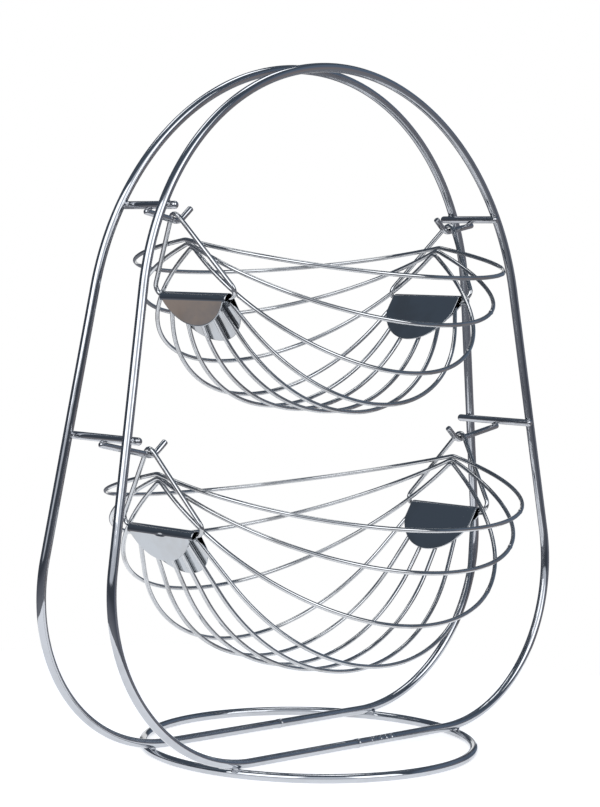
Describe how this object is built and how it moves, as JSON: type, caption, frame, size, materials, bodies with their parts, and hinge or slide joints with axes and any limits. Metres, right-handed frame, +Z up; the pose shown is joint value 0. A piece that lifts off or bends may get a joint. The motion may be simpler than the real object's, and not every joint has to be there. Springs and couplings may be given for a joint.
{
  "type": "tiered wire basket",
  "caption": "Two-tier hanging wire fruit basket: leaning rod hoops on a round base ring carry two bowls of folded rings and curved ribs on triangular bails.",
  "frame": {"origin": "on the table, under the middle of the base ring", "axes": "+Z up, +X from the left hooks to the right hooks, -Y to the front"},
  "size_m": [0.4046, 0.2752, 0.45],
  "materials": {
    "frame_rod": "bright polished plating on 6 mm rod",
    "bracket_rod": "bright plating on 4 and 5 mm rod",
    "basket_wire": "bright polished plating on thin wire",
    "clip_sheet": "mirror-bright plated sheet"
  },
  "bodies": {
    "frame": {"front_hoop": "frame_rod", "rear_hoop": "frame_rod", "base_ring": "frame_rod", "lower_left_crossbar": "bracket_rod", "lower_left_hook": "bracket_rod", "lower_right_crossbar": "bracket_rod", "lower_right_hook": "bracket_rod", "upper_left_crossbar": "bracket_rod", "upper_left_hook": "bracket_rod", "upper_right_crossbar": "bracket_rod", "upper_right_hook": "bracket_rod"},
    "lower_basket": {"lower_rim_ring": "basket_wire", "lower_middle_ring": "basket_wire", "lower_bottom_ring": "basket_wire", "lower_front_outer_rib": "basket_wire", "lower_front_middle_rib": "basket_wire", "lower_front_inner_rib": "basket_wire", "lower_rear_outer_rib": "basket_wire", "lower_rear_middle_rib": "basket_wire", "lower_rear_inner_rib": "basket_wire", "lower_left_bail": "basket_wire", "lower_left_clip": "clip_sheet", "lower_right_bail": "basket_wire", "lower_right_clip": "clip_sheet"},
    "upper_basket": {"upper_rim_ring": "basket_wire", "upper_middle_ring": "basket_wire", "upper_bottom_ring": "basket_wire", "upper_front_outer_rib": "basket_wire", "upper_front_middle_rib": "basket_wire", "upper_front_inner_rib": "basket_wire", "upper_rear_outer_rib": "basket_wire", "upper_rear_middle_rib": "basket_wire", "upper_rear_inner_rib": "basket_wire", "upper_left_bail": "basket_wire", "upper_left_clip": "clip_sheet", "upper_right_bail": "basket_wire", "upper_right_clip": "clip_sheet"}
  },
  "joints": [
    {"name": "lower_swing", "type": "hinge", "parent": "frame", "child": "lower_basket", "pos_m": [0, 0, 0.20011], "axis": [1, 0, 0], "range_deg": [-45, 45]},
    {"name": "upper_swing", "type": "hinge", "parent": "frame", "child": "upper_basket", "pos_m": [0, 0, 0.34467], "axis": [1, 0, 0], "range_deg": [-45, 45]}
  ]
}
